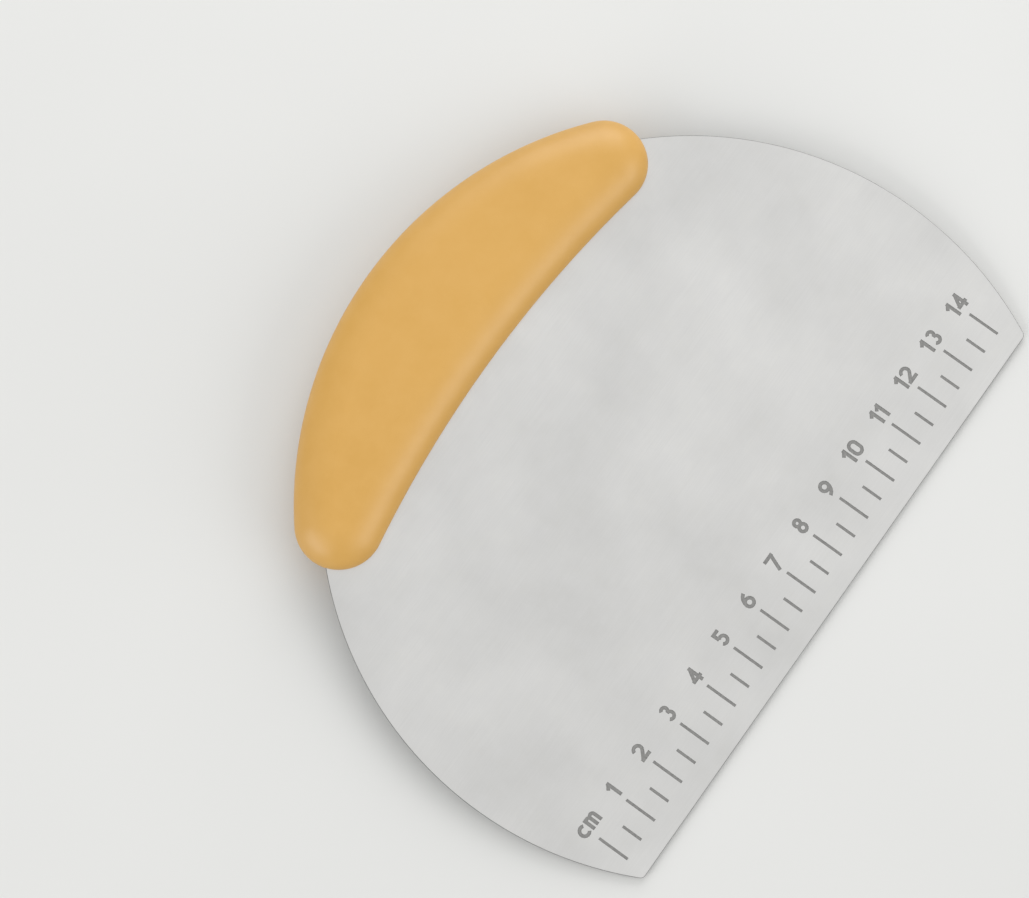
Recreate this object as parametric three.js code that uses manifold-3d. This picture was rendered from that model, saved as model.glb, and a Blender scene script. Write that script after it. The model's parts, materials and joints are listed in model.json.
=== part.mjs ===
// Half-moon bench scraper: a round sheet blade cut off by a straight scraping edge, held between
// the two moulded halves of a curved handle by hidden pins. It lies on the bench as it is put
// down, touching it with the straight edge and with the underside of the handle.
//
// Millimetres, +Z up. The pieces are drawn flat, with the blade's middle plane at z = 0, the
// straight edge on the X axis and the handle towards +Y. The last group tips them to the lying
// position, with the origin on the bench under the middle of the scraper.

import * as THREE from 'three';
import { mergeVertices } from 'three/addons/utils/BufferGeometryUtils.js';
import Module from 'manifold-3d';

const wasm = await Module();
wasm.setup();
const { degToRad } = THREE.MathUtils;

// Blade
const bladeRadius = 81.5;
const bladeCentreY = 37.6; // centre of the round outline, above the straight edge
const bladeThickness = 1.3;
const bladeCornerRadius = 1.2;
const grindWidth = 1.0; // both faces are ground down along the straight edge over this width
const grindDepth = 0.15;

// Handle outline: an outer arc about the blade's centre, two round ends and a shallow inner arc
const handleRadius = 87.3;
const handleEndRadius = 9.8;
const handleEndAngle = degToRad(39.6); // from the middle line to the centre of each round end
const handleInnerY = 91.8; // the inner arc at the middle line

// Handle section
const handleThickness = 14;
const shoulderWidth = 9; // the sides are rounded over this width, and the faces between are flat
const sideHeight = 0.6; // upright band at the middle plane
const wall = 2.4;
const roof = 2.2;
const ribThickness = 1.6;
const ribAngles = [-42, -21.5, 0, 21.5, 42].map(degToRad);
const clearance = 0.3; // between a shell and what it holds
const partingGap = 0.3; // between the two shells

// Pins
const pinCircleRadius = 73;
const pinAngles = [-32, -11, 11, 32].map(degToRad);
const pinRadius = 2;
const pinLength = 9.2;
const pinChamfer = 0.4;
const bossRadius = 4.4;

// Scale etched along the straight edge
const zeroLineX = -70.9;
const scaleLength = 140;
const linePitch = 5;
const linesPerNumber = 2;
const lineStartY = 5.1;
const longLine = 7.5;
const shortLine = 4.85;
const lineWidth = 0.62;
const etchDepth = 0.1;

// Lettering of the scale
const numeralBaselineY = 14.1;
const numeralHeight = 3.95;
const numeralWidth = 2.75;
const strokeWidth = 0.8;
const glyphGap = 0.4;
const unitHeight = 3; // the height of a small letter
const unitStartX = zeroLineX - 2.1;
const unitBaselineY = numeralBaselineY + 0.4;

// Fineness of the curved outlines
const bladeArcSegments = 96;
const cornerSegments = 4;
const outerArcSegments = 26;
const endArcSegments = 14;
const innerArcSegments = 12;
const shoulderSegments = 6;
const strokeArcStep = degToRad(24);
const roundSegments = 20;

// ---- shapes and solids ------------------------------------------------------------------------

function arcPoints(x, y, radius, from, to, segments) {
  return Array.from({ length: segments + 1 }, (_, i) => {
    const angle = from + ((to - from) * i) / segments;
    return new THREE.Vector2(x + radius * Math.cos(angle), y + radius * Math.sin(angle));
  });
}

// A point on a circle about the blade's centre, with the angle measured from the middle line.
function aboutBladeCentre(radius, angle) {
  return new THREE.Vector2(radius * Math.sin(angle), bladeCentreY + radius * Math.cos(angle));
}

// A flat shape made into a plate between two heights.
function plate(shape, bottom, top) {
  const geometry = new THREE.ExtrudeGeometry(shape, { depth: top - bottom, bevelEnabled: false });
  return geometry.translate(0, 0, bottom);
}

// An upright cylinder between two heights.
function post(radius, bottom, top, centre) {
  const geometry = new THREE.CylinderGeometry(radius, radius, top - bottom, roundSegments);
  return geometry.rotateX(Math.PI / 2).translate(centre.x, centre.y, (bottom + top) / 2);
}

function toSolid(geometry) {
  const bare = geometry.clone();
  bare.deleteAttribute('normal');
  bare.deleteAttribute('uv');
  const merged = mergeVertices(bare);
  return new wasm.Manifold(new wasm.Mesh({
    numProp: 3,
    vertProperties: new Float32Array(merged.attributes.position.array),
    triVerts: new Uint32Array(merged.index.array),
  }));
}

function toGeometry(solid) {
  const { vertProperties, triVerts } = solid.getMesh();
  const geometry = new THREE.BufferGeometry();
  geometry.setAttribute('position', new THREE.BufferAttribute(vertProperties, 3));
  geometry.setIndex(new THREE.BufferAttribute(triVerts, 1));
  geometry.computeVertexNormals();
  return geometry;
}

function join(solids) {
  return solids.reduce((whole, solid) => whole.add(solid));
}

// ---- scale ------------------------------------------------------------------------------------

// A straight stroke between two points.
function line(x1, y1, x2, y2, width = strokeWidth) {
  const start = new THREE.Vector2(x1, y1);
  const end = new THREE.Vector2(x2, y2);
  const along = end.clone().sub(start).normalize();
  const aside = new THREE.Vector2(-along.y, along.x).multiplyScalar(width / 2);
  return new THREE.Shape([
    start.clone().sub(aside),
    end.clone().sub(aside),
    end.clone().add(aside),
    start.clone().add(aside),
  ]);
}

// A curved stroke, anticlockwise between two angles in degrees.
function arc(x, y, radius, fromDegrees, toDegrees) {
  const from = degToRad(fromDegrees);
  const to = degToRad(toDegrees);
  const segments = Math.ceil((to - from) / strokeArcStep);
  return new THREE.Shape([
    ...arcPoints(x, y, radius + strokeWidth / 2, from, to, segments),
    ...arcPoints(x, y, radius - strokeWidth / 2, to, from, segments),
  ]);
}

function ring(x, y, radius) {
  return [arc(x, y, radius, -3, 183), arc(x, y, radius, 177, 363)];
}

// The coordinates of a point on a circle.
function onCircle(x, y, radius, degrees) {
  const angle = degToRad(degrees);
  return [x + radius * Math.cos(angle), y + radius * Math.sin(angle)];
}

// Each glyph is its width and its strokes, drawn from its lower left corner. The strokes run along
// the middles of the drawn lines, so they keep half a stroke inside the glyph's box.
const halfStroke = strokeWidth / 2;
const low = halfStroke;
const high = numeralHeight - halfStroke;
const left = halfStroke;
const right = numeralWidth - halfStroke;
const middle = numeralWidth / 2;
const bowl = right - middle; // the radius of a full-width bowl
const smallBowl = 0.23 * (high - low);
const bigBowl = (high - low) / 2 - smallBowl;

function zero() {
  return [
    arc(middle, high - bowl, bowl, 0, 180),
    arc(middle, low + bowl, bowl, 180, 360),
    line(left, low + bowl, left, high - bowl),
    line(right, low + bowl, right, high - bowl),
  ];
}

function one(width) {
  const stem = width - halfStroke;
  const flagDrop = 0.8;
  return [line(stem, 0, stem, numeralHeight), line(0.1, high - flagDrop, stem, high)];
}

function two() {
  const hookEnd = -35;
  return [
    arc(middle, high - bowl, bowl, hookEnd, 165),
    line(...onCircle(middle, high - bowl, bowl, hookEnd), left, low),
    line(0, low, numeralWidth, low),
  ];
}

function three() {
  const x = right - bigBowl;
  return [
    arc(x, high - smallBowl, smallBowl, -90, 150),
    arc(x, low + bigBowl, bigBowl, -150, 90),
  ];
}

function four() {
  const stem = 0.7 * numeralWidth;
  const bar = 0.28 * numeralHeight;
  return [
    line(stem, 0, stem, numeralHeight),
    line(stem, high, left, bar),
    line(0, bar, numeralWidth, bar),
  ];
}

function five() {
  const belly = 0.94 * bowl;
  const bellyTop = onCircle(right - belly, low + belly, belly, 130);
  return [
    line(left, high, right, high),
    line(left + halfStroke, high, ...bellyTop),
    arc(right - belly, low + belly, belly, -150, 130),
  ];
}

// The tail of the six is an arc that leaves its bowl upright and ends at the numeral's height.
function six() {
  const tailEnd = 106;
  const tail = (high - low - bowl) / Math.sin(degToRad(tailEnd));
  return [
    ...ring(middle, low + bowl, bowl),
    arc(left + tail, low + bowl, tail, tailEnd, 180),
  ];
}

function seven() {
  return [line(0, high, numeralWidth, high), line(right, high, 0.35 * numeralWidth, 0)];
}

function eight() {
  return [
    ...ring(middle, high - smallBowl, smallBowl),
    ...ring(middle, low + bigBowl, bigBowl),
  ];
}

// A six turned half round.
function nine() {
  const tailEnd = -74;
  const tail = (high - low - bowl) / Math.sin(degToRad(-tailEnd));
  return [
    ...ring(middle, high - bowl, bowl),
    arc(right - tail, high - bowl, tail, tailEnd, 0),
  ];
}

function letterC() {
  const radius = unitHeight / 2 - halfStroke;
  return [arc(unitHeight / 2, unitHeight / 2, radius, 50, 310)];
}

function letterM(width) {
  const arch = (width - strokeWidth) / 4;
  const spring = unitHeight - halfStroke - arch;
  return [
    line(left, 0, left, unitHeight),
    line(left + 2 * arch, 0, left + 2 * arch, spring),
    line(left + 4 * arch, 0, left + 4 * arch, spring),
    arc(left + arch, spring, arch, 0, 180),
    arc(left + 3 * arch, spring, arch, 0, 180),
  ];
}

function makeGlyphs() {
  const oneWidth = 1.55;
  const letterCWidth = 2.4;
  const letterMWidth = 3.3;
  const numeral = (strokes) => ({ width: numeralWidth, strokes });
  return {
    0: numeral(zero()),
    1: { width: oneWidth, strokes: one(oneWidth) },
    2: numeral(two()),
    3: numeral(three()),
    4: numeral(four()),
    5: numeral(five()),
    6: numeral(six()),
    7: numeral(seven()),
    8: numeral(eight()),
    9: numeral(nine()),
    c: { width: letterCWidth, strokes: letterC() },
    m: { width: letterMWidth, strokes: letterM(letterMWidth) },
  };
}

const glyphs = makeGlyphs();

// The tool that etches one flat shape into the front face.
function etching(shape) {
  const face = bladeThickness / 2;
  return toSolid(plate(shape, face - etchDepth, face + etchDepth));
}

function textWidth(text) {
  const inked = [...text].reduce((sum, character) => sum + glyphs[character].width, 0);
  return inked + glyphGap * (text.length - 1);
}

function textEtching(text, startX, baselineY) {
  const solids = [];
  let x = startX;
  for (const character of text) {
    const { width, strokes } = glyphs[character];
    solids.push(...strokes.map((stroke) => etching(stroke).translate(x, baselineY, 0)));
    x += width + glyphGap;
  }
  return join(solids);
}

function scaleEtching() {
  const solids = [textEtching('cm', unitStartX, unitBaselineY)];
  for (let i = 0; i <= scaleLength / linePitch; i += 1) {
    const x = zeroLineX + i * linePitch;
    const isLong = i % linesPerNumber === 0;
    const length = isLong ? longLine : shortLine;
    solids.push(etching(line(x, lineStartY, x, lineStartY + length, lineWidth)));
    if (isLong && i > 0) {
      const text = String(i / linesPerNumber);
      solids.push(textEtching(text, x - textWidth(text) / 2, numeralBaselineY));
    }
  }
  return join(solids);
}

// ---- blade ------------------------------------------------------------------------------------

// The blade's outline, made larger all round by grow. Each corner is a small arc that touches both
// the straight edge and the round one.
function bladeShape(grow = 0) {
  const radius = bladeRadius + grow;
  const corner = bladeCornerRadius + grow;
  const rise = bladeCentreY - bladeCornerRadius;
  const cornerX = Math.sqrt((radius - corner) ** 2 - rise ** 2);
  const meet = -Math.atan2(rise, cornerX);
  const y = bladeCornerRadius;
  const down = -Math.PI / 2;
  return new THREE.Shape([
    ...arcPoints(cornerX, y, corner, down, meet, cornerSegments).slice(0, -1),
    ...arcPoints(0, bladeCentreY, radius, meet, Math.PI - meet, bladeArcSegments),
    ...arcPoints(-cornerX, y, corner, -Math.PI - meet, down, cornerSegments).slice(1),
  ]);
}

// The wedge of metal ground away from one face: side is 1 for the front and -1 for the back.
function grindWedge(side) {
  const face = (side * bladeThickness) / 2;
  const drop = side * grindDepth;
  const length = 2.2 * bladeRadius;
  const section = new THREE.Shape([
    new THREE.Vector2(-grindWidth, face - 2 * drop),
    new THREE.Vector2(grindWidth, face),
    new THREE.Vector2(grindWidth, face + drop),
    new THREE.Vector2(-grindWidth, face + drop),
  ]);
  const wedge = plate(section, -length / 2, length / 2);
  return wedge.rotateY(Math.PI / 2).rotateX(Math.PI / 2);
}

function bladeGeometry() {
  const sheet = toSolid(plate(bladeShape(), -bladeThickness / 2, bladeThickness / 2));
  const holes = pinAngles.map((angle) => post(
    pinRadius + clearance,
    -bladeThickness,
    bladeThickness,
    aboutBladeCentre(pinCircleRadius, angle),
  ));
  const cuts = [...holes, grindWedge(1), grindWedge(-1)].map(toSolid);
  return toGeometry(sheet.subtract(join(cuts)).subtract(scaleEtching()));
}

// ---- handle -----------------------------------------------------------------------------------

// The handle's outline, moved inwards by inset. The inner arc touches both round ends, which
// settles its radius.
function handleShape(inset) {
  const end = aboutBladeCentre(handleRadius - handleEndRadius, handleEndAngle);
  const drop = end.y - handleInnerY;
  const innerRadius = (end.x ** 2 + drop ** 2 - handleEndRadius ** 2)
    / (2 * (handleEndRadius - drop));
  const innerY = handleInnerY - innerRadius;
  const innerAngle = Math.atan2(end.x, end.y - innerY);
  const up = Math.PI / 2;
  const endRadius = handleEndRadius - inset;
  return new THREE.Shape([
    ...arcPoints(0, bladeCentreY, handleRadius - inset,
      up - handleEndAngle, up + handleEndAngle, outerArcSegments),
    ...arcPoints(-end.x, end.y, endRadius,
      up + handleEndAngle, 3 * up + innerAngle, endArcSegments).slice(1, -1),
    ...arcPoints(0, innerY, innerRadius + inset,
      up + innerAngle, up - innerAngle, innerArcSegments),
    ...arcPoints(end.x, end.y, endRadius,
      -up - innerAngle, up - handleEndAngle, endArcSegments).slice(1, -1),
  ]);
}

// The whole handle as a smooth pebble, made thinner all round by skin on its sides and on its
// two faces.
function pebble(sideSkin = 0, faceSkin = 0) {
  const geometry = new THREE.ExtrudeGeometry(handleShape(shoulderWidth), {
    depth: sideHeight,
    bevelSize: shoulderWidth - sideSkin,
    bevelThickness: (handleThickness - sideHeight) / 2 - faceSkin,
    bevelSegments: shoulderSegments,
  });
  return geometry.translate(0, 0, -sideHeight / 2);
}

// A rib that stands across the handle, over the blade.
function rib(angle, bottom) {
  const length = 2 * handleEndRadius + 4 * wall;
  const centre = aboutBladeCentre(pinCircleRadius, angle);
  const geometry = new THREE.BoxGeometry(ribThickness, 2 * length, handleThickness);
  return geometry.rotateZ(-angle).translate(centre.x, centre.y, bottom + handleThickness / 2);
}

// The front half of the handle. Its open side faces the blade.
function shellGeometry() {
  const bladeRoom = bladeThickness / 2 + clearance;
  const span = 4 * handleRadius;
  const half = new THREE.BoxGeometry(span, span, handleThickness)
    .translate(0, 0, (handleThickness + partingGap) / 2);
  const centres = pinAngles.map((angle) => aboutBladeCentre(pinCircleRadius, angle));
  const ribs = ribAngles.map((angle) => rib(angle, bladeRoom));
  const bosses = centres.map((centre) => post(bossRadius, bladeRoom, handleThickness, centre));
  const sockets = centres.map((centre) => post(
    pinRadius + clearance,
    -clearance,
    pinLength / 2 + clearance,
    centre,
  ));
  const bladeSlot = plate(bladeShape(clearance), -bladeRoom, bladeRoom);
  const stiffening = join([...ribs, ...bosses].map(toSolid));
  const hollow = toSolid(pebble(wall, roof)).subtract(stiffening);
  return toGeometry(
    toSolid(pebble())
      .intersect(toSolid(half))
      .subtract(hollow)
      .subtract(toSolid(bladeSlot))
      .subtract(join(sockets.map(toSolid))),
  );
}

// ---- pins -------------------------------------------------------------------------------------

function pinGeometry() {
  const halfLength = pinLength / 2;
  const profile = [
    new THREE.Vector2(0, -halfLength),
    new THREE.Vector2(pinRadius - pinChamfer, -halfLength),
    new THREE.Vector2(pinRadius, pinChamfer - halfLength),
    new THREE.Vector2(pinRadius, halfLength - pinChamfer),
    new THREE.Vector2(pinRadius - pinChamfer, halfLength),
    new THREE.Vector2(0, halfLength),
  ];
  return new THREE.LatheGeometry(profile, roundSegments).rotateX(Math.PI / 2);
}

// ---- assembly ---------------------------------------------------------------------------------

const steel = new THREE.MeshStandardMaterial({ color: 0xd4d2d1, roughness: 0.42, metalness: 1 });
const plastic = new THREE.MeshStandardMaterial({ color: 0xe0ad5e, roughness: 0.62, metalness: 0 });
const pinSteel = new THREE.MeshStandardMaterial({ color: 0xb9babb, roughness: 0.3, metalness: 1 });

function piece(name, geometry, material) {
  const mesh = new THREE.Mesh(geometry, material.clone());
  mesh.name = name;
  return mesh;
}

function makePins() {
  const geometry = pinGeometry();
  return pinAngles.map((angle, i) => {
    const pin = piece(`locking_pin_${i + 1}`, geometry, pinSteel);
    const centre = aboutBladeCentre(pinCircleRadius, angle);
    pin.position.set(centre.x, centre.y, 0);
    return pin;
  });
}

// The angle at which the ground rim of the straight edge and the underside of the handle, which
// mirrors its front, touch the bench together.
function lyingTilt(shell) {
  const position = shell.getAttribute('position');
  let tilt = 0;
  for (let i = 0; i < position.count; i += 1) {
    const below = position.getZ(i) - bladeThickness / 2;
    const beyond = position.getY(i) - grindWidth;
    tilt = Math.max(tilt, Math.atan2(below, beyond));
  }
  return tilt;
}

function makeScraper() {
  const shell = shellGeometry();
  const frontShell = piece('front_shell', shell, plastic);
  const backShell = piece('back_shell', shell, plastic);
  backShell.rotation.y = Math.PI;

  const scraper = new THREE.Group();
  scraper.add(piece('blade', bladeGeometry(), steel), frontShell, backShell, ...makePins());
  scraper.rotation.x = lyingTilt(shell);

  const bounds = new THREE.Box3().setFromObject(scraper, true);
  const centre = bounds.getCenter(new THREE.Vector3());
  scraper.position.set(-centre.x, -centre.y, -bounds.min.z);
  return scraper;
}

export default makeScraper();
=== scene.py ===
"""Looks of a half-moon bench scraper: satin steel blade, etched scale and matte moulded handle.

The pieces are drawn flat, in millimetres, with the straight edge on X, the handle towards +Y and
the sheet's middle plane at z = 0, and are then laid into the frame by one matrix.
"""
import json
import math

import bmesh
import bpy
from mathutils import Matrix, Vector


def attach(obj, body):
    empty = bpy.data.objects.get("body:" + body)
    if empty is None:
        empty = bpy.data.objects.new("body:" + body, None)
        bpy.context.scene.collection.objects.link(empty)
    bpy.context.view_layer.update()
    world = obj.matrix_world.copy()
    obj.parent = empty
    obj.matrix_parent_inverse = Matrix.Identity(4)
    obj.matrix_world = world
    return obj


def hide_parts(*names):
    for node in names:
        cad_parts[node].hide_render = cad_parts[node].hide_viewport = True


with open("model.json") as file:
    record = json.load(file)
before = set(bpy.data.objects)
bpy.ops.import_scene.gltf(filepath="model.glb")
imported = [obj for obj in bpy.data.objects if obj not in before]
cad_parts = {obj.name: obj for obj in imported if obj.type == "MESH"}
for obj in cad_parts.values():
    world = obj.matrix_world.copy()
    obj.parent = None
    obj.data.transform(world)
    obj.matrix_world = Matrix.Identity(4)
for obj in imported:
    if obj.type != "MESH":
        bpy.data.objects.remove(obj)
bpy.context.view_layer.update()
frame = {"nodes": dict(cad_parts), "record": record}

MM = 0.001
scene = bpy.context.scene

# ---- the frame's own sizes ----------------------------------------------------------------------


def flat_to_frame():
    """The matrix from the flat drawing to the row frame, found from the blade as it lies there."""
    face = next(m for m in frame["record"]["mounts"] if m["name"] == "blade_front_face")
    normal = Vector(face["axis"]).normalized()
    along = Vector((1, 0, 0))
    outward = normal.cross(along)
    points = [v.co for v in frame["nodes"]["blade"].data.vertices]
    edge = min(p.dot(outward) for p in points)
    heights = [p.dot(normal) for p in points]
    middle = (min(heights) + max(heights)) / 2
    origin = outward * edge + normal * middle
    turn = Matrix((along, outward, normal)).transposed()
    return Matrix.Translation(origin) @ turn.to_4x4() @ Matrix.Scale(MM, 4)


TO_FRAME = flat_to_frame()
TO_FLAT = TO_FRAME.inverted()
TURN_TO_FRAME = TO_FRAME.to_3x3().normalized()
SHEET_NORMAL = TURN_TO_FRAME @ Vector((0, 0, 1))


def flat_box(node):
    """Lowest and highest corner of a CAD node in the flat drawing."""
    points = [TO_FLAT @ v.co for v in frame["nodes"][node].data.vertices]
    low = Vector([min(p[i] for p in points) for i in range(3)])
    high = Vector([max(p[i] for p in points) for i in range(3)])
    return low, high


BLADE_LOW, BLADE_HIGH = flat_box("blade")
SHELL_LOW, SHELL_HIGH = flat_box("front_shell")

BLADE_RADIUS = BLADE_HIGH.x
BLADE_CENTRE_Y = BLADE_HIGH.y - BLADE_RADIUS
BLADE_FACE = BLADE_HIGH.z
CORNER_RADIUS = 1.2
GRIND_WIDTH = 1.0
GRIND_DEPTH = 0.1
RIM_ROUNDING = 0.2
ETCH_DEPTH = 0.1
ETCH_FILL = 0.03

HANDLE_RADIUS = SHELL_HIGH.y - BLADE_CENTRE_Y
HANDLE_TOP = SHELL_HIGH.z
HANDLE_END_RADIUS = 9.8
HANDLE_END_ANGLE = math.radians(39.6)
HANDLE_INNER_Y = 91.8
SHOULDER_WIDTH = 9.5
PARTING_GAP = 0.02
PARTING_CHAMFER = 0.18
SLOT_GAP = 0.03

PIN_CIRCLE_RADIUS = 73
PIN_ANGLES = [math.radians(a) for a in (-32, -11, 11, 32)]
PIN_HOLE_RADIUS = 2.05
PIN_HALF_LENGTH = 4.65

# a face is level with the sheet when it leans less than this from it
LEVEL_COSINE = math.cos(math.radians(1.5))
# and it belongs to the rim when it leans more than this
RIM_COSINE = math.cos(math.radians(14))
# a plane face is larger than this, in square metres, and a facet of a rounded side is smaller
PLANE_AREA = 5e-5

# faces with a smaller angle between them, in degrees, are shaded as one
BLADE_SMOOTH_ANGLE = 35
SHELL_SMOOTH_ANGLE = 32

# points nearer than this to the cut of the grind lie on it, in metres
CUT_TOLERANCE = 1e-8
# mark corners nearer than this are one point, in millimetres
SAME_POINT = 1e-4

# ---- mesh helpers -------------------------------------------------------------------------------


def link(name, mesh):
    piece = bpy.data.objects.new(name, mesh)
    scene.collection.objects.link(piece)
    return piece


def solid(name, verts, faces):
    """An object from flat drawing points and faces, with its faces turned outwards."""
    mesh = bpy.data.meshes.new(name)
    mesh.from_pydata([TO_FRAME @ Vector(v) for v in verts], [], faces)
    bm = bmesh.new()
    bm.from_mesh(mesh)
    bmesh.ops.recalc_face_normals(bm, faces=bm.faces)
    bm.to_mesh(mesh)
    bm.free()
    return link(name, mesh)


def arc_points(x, y, radius, start, end, steps):
    angles = [start + (end - start) * i / steps for i in range(steps + 1)]
    return [(x + radius * math.cos(a), y + radius * math.sin(a)) for a in angles]


def ring_faces(count, rings):
    """The quads between neighbouring rings of equal length."""
    faces = []
    for r in range(rings - 1):
        for i in range(count):
            j = (i + 1) % count
            faces.append((r * count + i, r * count + j, (r + 1) * count + j, (r + 1) * count + i))
    return faces


def subtract(piece, cutter):
    """Cuts one solid out of a piece, and drops the cutter."""
    cut = piece.modifiers.new("cut", "BOOLEAN")
    cut.operation = "DIFFERENCE"
    cut.solver = "EXACT"
    cut.object = cutter
    depsgraph = bpy.context.evaluated_depsgraph_get()
    mesh = bpy.data.meshes.new_from_object(piece.evaluated_get(depsgraph))
    piece.modifiers.clear()
    piece.data = mesh
    bpy.data.objects.remove(cutter)


def shade(piece, angle):
    """Smooth shading up to an angle, with level and plane faces kept flat."""
    piece.data.set_sharp_from_angle(angle=math.radians(angle))
    for face in piece.data.polygons:
        level = abs(face.normal.dot(SHEET_NORMAL)) > LEVEL_COSINE
        face.use_smooth = not level and face.area < PLANE_AREA


# ---- blade --------------------------------------------------------------------------------------


def blade_outline(grow, arc_steps, corner_steps):
    radius = BLADE_RADIUS + grow
    corner = CORNER_RADIUS + grow
    rise = BLADE_CENTRE_Y - CORNER_RADIUS
    corner_x = math.sqrt((radius - corner) ** 2 - rise ** 2)
    meet = -math.atan2(rise, corner_x)
    down = -math.pi / 2
    right = arc_points(corner_x, CORNER_RADIUS, corner, down, meet, corner_steps)
    main = arc_points(0, BLADE_CENTRE_Y, radius, meet, math.pi - meet, arc_steps)
    left = arc_points(-corner_x, CORNER_RADIUS, corner, -math.pi - meet, down, corner_steps)
    return right[:-1] + main + left[1:]


def blade_plate(name, grow, half_thickness, rounding, arc_steps=480, corner_steps=12):
    """A sheet of the blade's outline, with its rim rounded over on both faces."""
    round_steps = 5
    profile = []
    for i in range(round_steps + 1):
        angle = math.pi / 2 * i / round_steps
        inset = rounding * (1 - math.sin(angle))
        profile.append((inset, half_thickness - rounding * (1 - math.cos(angle))))
    levels = [(inset, -z) for inset, z in profile] + [(inset, z) for inset, z in profile[::-1]]
    verts = []
    for inset, z in levels:
        verts += [(x, y, z) for x, y in blade_outline(grow - inset, arc_steps, corner_steps)]
    count = len(verts) // len(levels)
    faces = ring_faces(count, len(levels))
    faces.append(tuple(range(count)))
    faces.append(tuple(range(count * (len(levels) - 1), count * len(levels))))
    return solid(name, verts, faces)


def grind_edge(piece):
    """Thins the sheet towards its straight edge, on both faces."""
    bm = bmesh.new()
    bm.from_mesh(piece.data)
    across = TO_FRAME.to_3x3() @ Vector((0, 1, 0))
    at = TO_FRAME @ Vector((0, GRIND_WIDTH, 0))
    whole = bm.verts[:] + bm.edges[:] + bm.faces[:]
    bmesh.ops.bisect_plane(bm, geom=whole, dist=CUT_TOLERANCE, plane_co=at, plane_no=across)
    for vert in bm.verts:
        flat = TO_FLAT @ vert.co
        if flat.y < GRIND_WIDTH:
            lost = GRIND_DEPTH * (1 - flat.y / GRIND_WIDTH)
            flat.z *= (BLADE_FACE - lost) / BLADE_FACE
            vert.co = TO_FRAME @ flat
    bm.to_mesh(piece.data)
    bm.free()


def mark_solids(name, bottom, top):
    """The etched lines and numerals as solids between two heights, from the CAD groove floors."""
    source = frame["nodes"]["blade"].data
    floor = BLADE_FACE - ETCH_DEPTH
    bm = bmesh.new()
    for polygon in source.polygons:
        corners = [TO_FLAT @ source.vertices[i].co for i in polygon.vertices]
        if all(abs(c.z - floor) < ETCH_DEPTH / 4 and c.y > GRIND_WIDTH for c in corners):
            bm.faces.new([bm.verts.new((c.x, c.y, bottom)) for c in corners])
    bmesh.ops.remove_doubles(bm, verts=bm.verts, dist=SAME_POINT)
    grown = bmesh.ops.extrude_face_region(bm, geom=bm.faces[:])
    for item in grown["geom"]:
        if isinstance(item, bmesh.types.BMVert):
            item.co.z = top
    bmesh.ops.recalc_face_normals(bm, faces=bm.faces)
    bmesh.ops.transform(bm, matrix=TO_FRAME, verts=bm.verts)
    mesh = bpy.data.meshes.new(name)
    bm.to_mesh(mesh)
    bm.free()
    return link(name, mesh)


def about_centre(radius, angle):
    return radius * math.sin(angle), BLADE_CENTRE_Y + radius * math.cos(angle)


def pin_hole(angle, radius, bottom, top, steps=48):
    x, y = about_centre(PIN_CIRCLE_RADIUS, angle)
    rim = arc_points(x, y, radius, 0, 2 * math.pi, steps)[:-1]
    verts = [(*p, bottom) for p in rim] + [(*p, top) for p in rim]
    faces = ring_faces(steps, 2) + [tuple(range(steps)), tuple(range(steps, 2 * steps))]
    return solid("pin_hole", verts, faces)


def make_blade():
    sheet = blade_plate("blade_sheet", 0, BLADE_FACE, RIM_ROUNDING)
    grind_edge(sheet)
    subtract(sheet, mark_solids("etching", BLADE_FACE - ETCH_DEPTH, BLADE_FACE + ETCH_DEPTH))
    for angle in PIN_ANGLES:
        subtract(sheet, pin_hole(angle, PIN_HOLE_RADIUS, -2 * BLADE_FACE, 2 * BLADE_FACE))
    paint(sheet, steel_material())
    # the rim's dark colour is partly a duller cut edge and partly painted shade along the edge
    paint_rim(sheet, rim_material())
    shade(sheet, BLADE_SMOOTH_ANGLE)
    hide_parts("blade")
    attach(sheet, "root")
    return sheet


def make_marks():
    floor = BLADE_FACE - ETCH_DEPTH
    marks = mark_solids("ruler_marks", floor, floor + ETCH_FILL)
    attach(marks, "root")
    return marks


# ---- handle -------------------------------------------------------------------------------------

OUTER_STEPS = 160
END_STEPS = 48
SIDE_STEPS = 28


def handle_ring(inset):
    """The handle's outline moved inwards: outer arc, left end, inner arc, right end."""
    end_x, end_y = about_centre(HANDLE_RADIUS - HANDLE_END_RADIUS, HANDLE_END_ANGLE)
    drop = end_y - HANDLE_INNER_Y
    inner_radius = (end_x ** 2 + drop ** 2 - HANDLE_END_RADIUS ** 2)
    inner_radius /= 2 * (HANDLE_END_RADIUS - drop)
    inner_y = HANDLE_INNER_Y - inner_radius
    swing = math.atan2(end_x, end_y - inner_y)
    up = math.pi / 2
    end = HANDLE_END_RADIUS - inset
    outer = arc_points(0, BLADE_CENTRE_Y, HANDLE_RADIUS - inset,
                       up - HANDLE_END_ANGLE, up + HANDLE_END_ANGLE, OUTER_STEPS)
    left = arc_points(-end_x, end_y, end, up + HANDLE_END_ANGLE, 3 * up + swing, END_STEPS)
    inner = arc_points(0, inner_y, inner_radius + inset, up + swing, up - swing, OUTER_STEPS)
    right = arc_points(end_x, end_y, end, -up - swing, up - HANDLE_END_ANGLE, END_STEPS)
    return outer + left[1:-1] + inner + right[1:-1]


def half_profile():
    """Insets and heights from the parting line over the rounded side up to the flat face."""
    side_start = PARTING_GAP + PARTING_CHAMFER
    profile = [(PARTING_CHAMFER, PARTING_GAP)]
    first = math.asin(side_start / HANDLE_TOP)
    for i in range(SIDE_STEPS + 1):
        angle = first + (math.pi / 2 - first) * i / SIDE_STEPS
        inset = SHOULDER_WIDTH * (1 - math.cos(angle))
        profile.append((inset, HANDLE_TOP * math.sin(angle)))
    return profile


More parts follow.
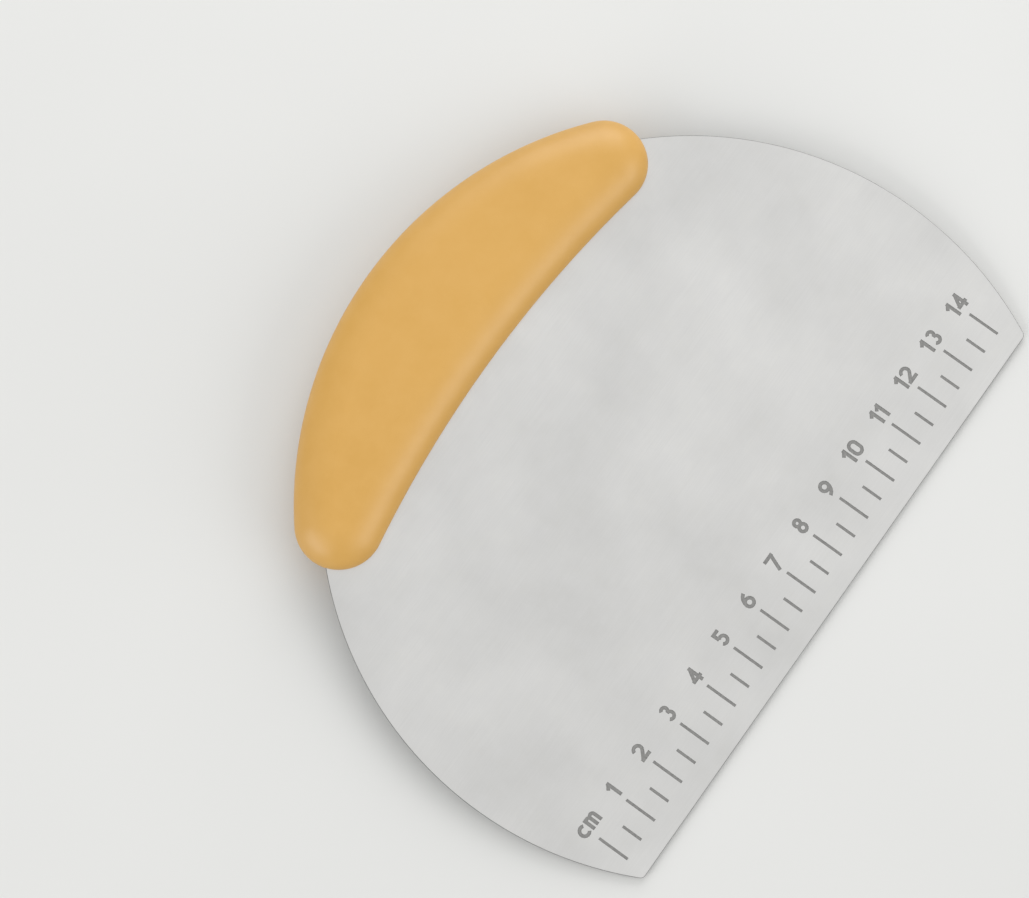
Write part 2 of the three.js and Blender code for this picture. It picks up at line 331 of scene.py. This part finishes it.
def flat_field(start):
    """The faces that fill the last ring, as strips from its outer arc to its inner arc."""
    inner = OUTER_STEPS + END_STEPS
    whole = 2 * inner
    faces = []
    for i in range(OUTER_STEPS):
        a, b = start + i, start + i + 1
        c, d = start + inner + OUTER_STEPS - i - 1, start + inner + OUTER_STEPS - i
        faces.append((a, b, c, d))
    faces.append(tuple(start + i for i in range(OUTER_STEPS, inner + 1)))
    faces.append(tuple(start + i % whole for i in range(inner + OUTER_STEPS, whole + 1)))
    return faces


def half_solid(name, side):
    """One half of the handle as a closed solid. Side is 1 above the blade and -1 below it."""
    profile = half_profile()
    verts = []
    for inset, height in profile:
        verts += [(x, y, side * height) for x, y in handle_ring(inset)]
    count = len(verts) // len(profile)
    faces = ring_faces(count, len(profile))
    faces.append(tuple(range(count)))
    faces += flat_field(count * (len(profile) - 1))
    return solid(name, verts, faces)


def make_half_shell(name, node, side):
    shell = half_solid(name, side)
    room = BLADE_FACE + SLOT_GAP
    slot = blade_plate("slot", SLOT_GAP, room, SLOT_GAP, arc_steps=240, corner_steps=4)
    subtract(shell, slot)
    bottom, top = sorted((0, side * PIN_HALF_LENGTH))
    for angle in PIN_ANGLES:
        subtract(shell, pin_hole(angle, PIN_HOLE_RADIUS, bottom, top))
    shade(shell, SHELL_SMOOTH_ANGLE)
    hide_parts(node)
    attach(shell, "root")
    return shell


# ---- materials ----------------------------------------------------------------------------------


class Nodes:
    """A material's node tree, with short calls to add and join nodes."""

    def __init__(self, name):
        self.material = bpy.data.materials.new(name)
        self.material.use_nodes = True
        self.tree = self.material.node_tree
        self.shader = self.tree.nodes["Principled BSDF"]
        self.place = self.add("ShaderNodeTexCoord").outputs["Object"]

    def add(self, kind, **values):
        node = self.tree.nodes.new(kind)
        for key, value in values.items():
            setattr(node, key, value)
        return node

    def join(self, output, target):
        self.tree.links.new(output, target)

    def mapping(self, scale):
        node = self.add("ShaderNodeMapping")
        node.inputs["Scale"].default_value = scale
        self.join(self.place, node.inputs["Vector"])
        return node.outputs["Vector"]

    def noise(self, scale, detail=3, roughness=0.5, vector=None):
        node = self.add("ShaderNodeTexNoise")
        node.inputs["Scale"].default_value = scale
        node.inputs["Detail"].default_value = detail
        node.inputs["Roughness"].default_value = roughness
        self.join(vector or self.place, node.inputs["Vector"])
        return node.outputs["Fac"]

    def spread(self, value, low, high, start=0.3, stop=0.7):
        node = self.add("ShaderNodeMapRange")
        node.inputs["From Min"].default_value = start
        node.inputs["From Max"].default_value = stop
        node.inputs["To Min"].default_value = low
        node.inputs["To Max"].default_value = high
        self.join(value, node.inputs["Value"])
        return node.outputs["Result"]

    def blend(self, factor, first, second):
        node = self.add("ShaderNodeMix", data_type="RGBA")
        self.join(factor, node.inputs["Factor"])
        for socket, colour in (("A", first), ("B", second)):
            slot = [s for s in node.inputs if s.name == socket and s.type == "RGBA"][0]
            if hasattr(colour, "is_output"):
                self.join(colour, slot)
            else:
                slot.default_value = (*colour, 1)
        return [s for s in node.outputs if s.type == "RGBA"][0]

    def bump(self, height, strength, distance, under=None):
        node = self.add("ShaderNodeBump")
        node.inputs["Strength"].default_value = strength
        node.inputs["Distance"].default_value = distance
        self.join(height, node.inputs["Height"])
        if under is not None:
            self.join(under, node.inputs["Normal"])
        return node.outputs["Normal"]

    def set(self, **values):
        for key, value in values.items():
            self.shader.inputs[key.replace("_", " ")].default_value = value


def steel_material():
    """Satin stainless sheet: fine grain along the edge, faint cloudy patches, soft gloss."""
    steel = Nodes("satin_steel")
    steel.set(Metallic=1.0, Roughness=0.41)
    cloud = steel.noise(38, 4, 0.55)
    fine_cloud = steel.noise(210, 3, 0.6)
    grain = steel.noise(900, 2, 0.6, steel.mapping((0.12, 6, 6)))
    dull, bright = (0.725, 0.719, 0.709), (0.85, 0.843, 0.832)
    colour = steel.blend(steel.spread(cloud, 0, 1), dull, bright)
    tinted = steel.blend(steel.spread(fine_cloud, 0, 0.35), colour, (0.84, 0.835, 0.84))
    grained = steel.blend(steel.spread(grain, 0, 0.14), tinted, (0.62, 0.615, 0.61))
    steel.join(grained, steel.shader.inputs["Base Color"])
    steel.join(steel.spread(fine_cloud, 0.36, 0.44), steel.shader.inputs["Roughness"])
    speck = steel.noise(5200, 2, 0.5)
    brushed = steel.bump(grain, 0.3, 0.00001)
    steel.join(steel.bump(speck, 0.2, 0.00001, brushed), steel.shader.inputs["Normal"])
    return steel.material


def rim_material():
    """The sheared and tumbled rim of the sheet, duller than its faces, and darker partly as
    painted shade along the edge where the sheet meets the surface.
    """
    rim = Nodes("sheared_rim_steel_and_painted_shade")
    rim.set(Metallic=1.0, Roughness=0.5)
    streak = rim.noise(1500, 3, 0.6)
    # the dark rim colour is partly painted shade: it darkens the thin line along the sheet's edge
    dark, light = (0.3, 0.297, 0.293), (0.4, 0.397, 0.392)
    colour = rim.blend(rim.spread(streak, 0, 1), dark, light)
    rim.join(colour, rim.shader.inputs["Base Color"])
    rim.join(rim.bump(streak, 0.4, 0.00002), rim.shader.inputs["Normal"])
    return rim.material


def etched_material():
    """Dark oxide at the bottom of the etched lines."""
    etched = Nodes("etched_oxide")
    etched.set(Metallic=0.2, Roughness=0.7)
    mottle = etched.noise(1800, 3, 0.6)
    dark, light = (0.185, 0.183, 0.179), (0.255, 0.252, 0.245)
    colour = etched.blend(etched.spread(mottle, 0, 1), dark, light)
    etched.join(colour, etched.shader.inputs["Base Color"])
    etched.join(etched.bump(mottle, 0.3, 0.00002), etched.shader.inputs["Normal"])
    return etched.material


def handle_material():
    """Warm yellow moulded plastic with a fine matte spark texture."""
    plastic = Nodes("matte_yellow_plastic")
    plastic.set(Roughness=0.45, Specular_IOR_Level=0.75)
    drift = plastic.noise(26, 3, 0.5)
    deep, warm = (0.54, 0.287, 0.047), (0.575, 0.313, 0.06)
    colour = plastic.blend(plastic.spread(drift, 0, 1), deep, warm)
    mottle = plastic.noise(170, 3, 0.6)
    mottled = plastic.blend(plastic.spread(mottle, 0, 0.4), colour, (0.61, 0.345, 0.085))
    plastic.join(mottled, plastic.shader.inputs["Base Color"])
    spark = plastic.noise(3600, 3, 0.6)
    orange_peel = plastic.noise(420, 2, 0.5)
    plastic.join(plastic.spread(spark, 0.4, 0.52), plastic.shader.inputs["Roughness"])
    soft = plastic.bump(orange_peel, 0.12, 0.00005)
    plastic.join(plastic.bump(spark, 0.45, 0.00003, soft), plastic.shader.inputs["Normal"])
    return plastic.material


def pin_material():
    """Ground dowel pin with fine turning lines."""
    pin = Nodes("ground_pin_steel")
    pin.set(Metallic=1.0, Roughness=0.28)
    lines = pin.noise(2400, 2, 0.5, pin.mapping((0.2, 0.2, 4)))
    dark, light = (0.5, 0.5, 0.51), (0.58, 0.58, 0.59)
    colour = pin.blend(pin.spread(lines, 0, 1), dark, light)
    pin.join(colour, pin.shader.inputs["Base Color"])
    pin.join(pin.bump(lines, 0.3, 0.00001), pin.shader.inputs["Normal"])
    return pin.material


def floor_material():
    """Pale matte surface."""
    floor = Nodes("pale_surface")
    floor.set(Roughness=0.9)
    mottle = floor.noise(7, 3, 0.5)
    dark, light = (0.628, 0.628, 0.618), (0.648, 0.648, 0.638)
    colour = floor.blend(floor.spread(mottle, 0, 1), dark, light)
    floor.join(colour, floor.shader.inputs["Base Color"])
    return floor.material


def paint(piece, material):
    piece.data.materials.clear()
    piece.data.materials.append(material)


def paint_rim(piece, material):
    """Gives a second material to the faces that stand across the sheet."""
    piece.data.materials.append(material)
    for face in piece.data.polygons:
        face.material_index = int(abs(face.normal.dot(SHEET_NORMAL)) < RIM_COSINE)


# ---- stage --------------------------------------------------------------------------------------

# the camera in the flat drawing: millimetres, and angles from the sheet's normal and from +X
CAMERA_DISTANCE = 435.9
CAMERA_LEAN = math.radians(6.08)
CAMERA_BEARING = math.radians(-147.7)
# how steeply the straight edge rises to the right in the picture
EDGE_SLANT = math.radians(54.0)
CAMERA_AIM = Vector((-13.7, 76.2, BLADE_FACE))
IMAGE_WIDTH = 1029
FOCAL_PIXELS = 2000
SENSOR = 36

SKY_COLOUR = (0.995, 1.0, 0.99, 1)
# strength straight up, strength at the horizon, and what it gains towards the bright bearing
SKY_ZENITH = 0.84
SKY_HORIZON = 0.56
SKY_SLANT = 0.23
SKY_BRIGHT_BEARING = -20

FLOOR_HALF_WIDTH = 3.0

# name, bearing and elevation in degrees, distance, width and height in metres, and radiance
SOFTBOXES = (
    ("key", 30, 28, 0.7, 0.66, 0.44, 2.6),
    ("blade_side_fill", -75, 25, 1.4, 1.26, 0.77, 2.4),
    ("handle_side_fill", 163, 25, 1.4, 1.19, 0.77, 3.2),
)


def make_camera():
    """Looks down on the blade, leaning a little, with its straight edge rising to the right."""
    data = bpy.data.cameras.new("camera")
    data.sensor_width = SENSOR
    data.lens = SENSOR * FOCAL_PIXELS / IMAGE_WIDTH
    data.clip_start = 0.01
    data.clip_end = 20
    camera = bpy.data.objects.new("camera", data)
    scene.collection.objects.link(camera)
    spread = math.sin(CAMERA_LEAN)
    back = Vector((
        spread * math.cos(CAMERA_BEARING),
        spread * math.sin(CAMERA_BEARING),
        math.cos(CAMERA_LEAN),
    ))
    edge = Vector((1, 0, 0))
    edge_in_view = (edge - back * edge.dot(back)).normalized()
    right = Matrix.Rotation(-EDGE_SLANT, 3, back) @ edge_in_view
    up = back.cross(right)
    turn = Matrix((right, up, back)).transposed()
    place = TO_FRAME @ (CAMERA_AIM + back * CAMERA_DISTANCE)
    camera.matrix_world = Matrix.Translation(place) @ (TURN_TO_FRAME @ turn).to_4x4()
    scene.camera = camera


def around(bearing, elevation):
    """The unit direction at a bearing from +X and an elevation above the floor, in degrees."""
    turn, rise = math.radians(bearing), math.radians(elevation)
    return Vector((
        math.cos(turn) * math.cos(rise),
        math.sin(turn) * math.cos(rise),
        math.sin(rise),
    ))


def softbox(name, bearing, elevation, distance, width, height, radiance):
    """A rectangular light that faces the object."""
    data = bpy.data.lights.new(name, "AREA")
    data.shape = "RECTANGLE"
    data.size = width
    data.size_y = height
    data.energy = radiance * math.pi * width * height
    lamp = bpy.data.objects.new(name, data)
    scene.collection.objects.link(lamp)
    direction = around(bearing, elevation)
    lamp.location = direction * distance
    lamp.rotation_euler = direction.to_track_quat("Z", "Y").to_euler()
    return lamp


def flag_off(piece, lamps):
    """Keeps lights off a piece, which then mirrors only the dome and what stands around it."""
    shaded = bpy.data.collections.new("flagged_off")
    shaded.objects.link(piece)
    shaded.collection_objects[0].light_linking.link_state = "EXCLUDE"
    for lamp in lamps:
        lamp.light_linking.receiver_collection = shaded


def make_sky():
    """A white dome, brighter overhead and towards one bearing."""
    world = bpy.data.worlds.new("studio")
    world.use_nodes = True
    tree = world.node_tree
    background = tree.nodes["Background"]
    background.inputs["Color"].default_value = SKY_COLOUR
    direction = tree.nodes.new("ShaderNodeTexCoord").outputs["Generated"]
    slope = tree.nodes.new("ShaderNodeVectorMath")
    slope.operation = "DOT_PRODUCT"
    slant = around(SKY_BRIGHT_BEARING, 0) * SKY_SLANT
    slope.inputs[1].default_value = slant + Vector((0, 0, SKY_ZENITH - SKY_HORIZON))
    tree.links.new(direction, slope.inputs[0])
    total = tree.nodes.new("ShaderNodeMath")
    total.operation = "ADD"
    total.inputs[1].default_value = SKY_HORIZON
    tree.links.new(slope.outputs["Value"], total.inputs[0])
    tree.links.new(total.outputs[0], background.inputs["Strength"])
    scene.world = world


def make_stage():
    """The surface, the dome and the softboxes. Returns the softboxes."""
    half = FLOOR_HALF_WIDTH
    mesh = bpy.data.meshes.new("floor")
    corners = [(-half, -half, 0), (half, -half, 0), (half, half, 0), (-half, half, 0)]
    mesh.from_pydata(corners, [], [(0, 1, 2, 3)])
    floor = link("floor", mesh)
    paint(floor, floor_material())
    make_sky()
    scene.view_settings.view_transform = "Standard"
    return [softbox(*box) for box in SOFTBOXES]


# ---- assembly -----------------------------------------------------------------------------------

make_camera()
softboxes = make_stage()
blade = make_blade()
flag_off(blade, softboxes)
marks = make_marks()
front = make_half_shell("front_handle_half", "front_shell", 1)
back = make_half_shell("back_handle_half", "back_shell", -1)
paint(marks, etched_material())
plastic_look = handle_material()
paint(front, plastic_look)
paint(back, plastic_look)
pin_look = pin_material()
for number in range(1, len(PIN_ANGLES) + 1):
    paint(frame["nodes"][f"locking_pin_{number}"], pin_look)
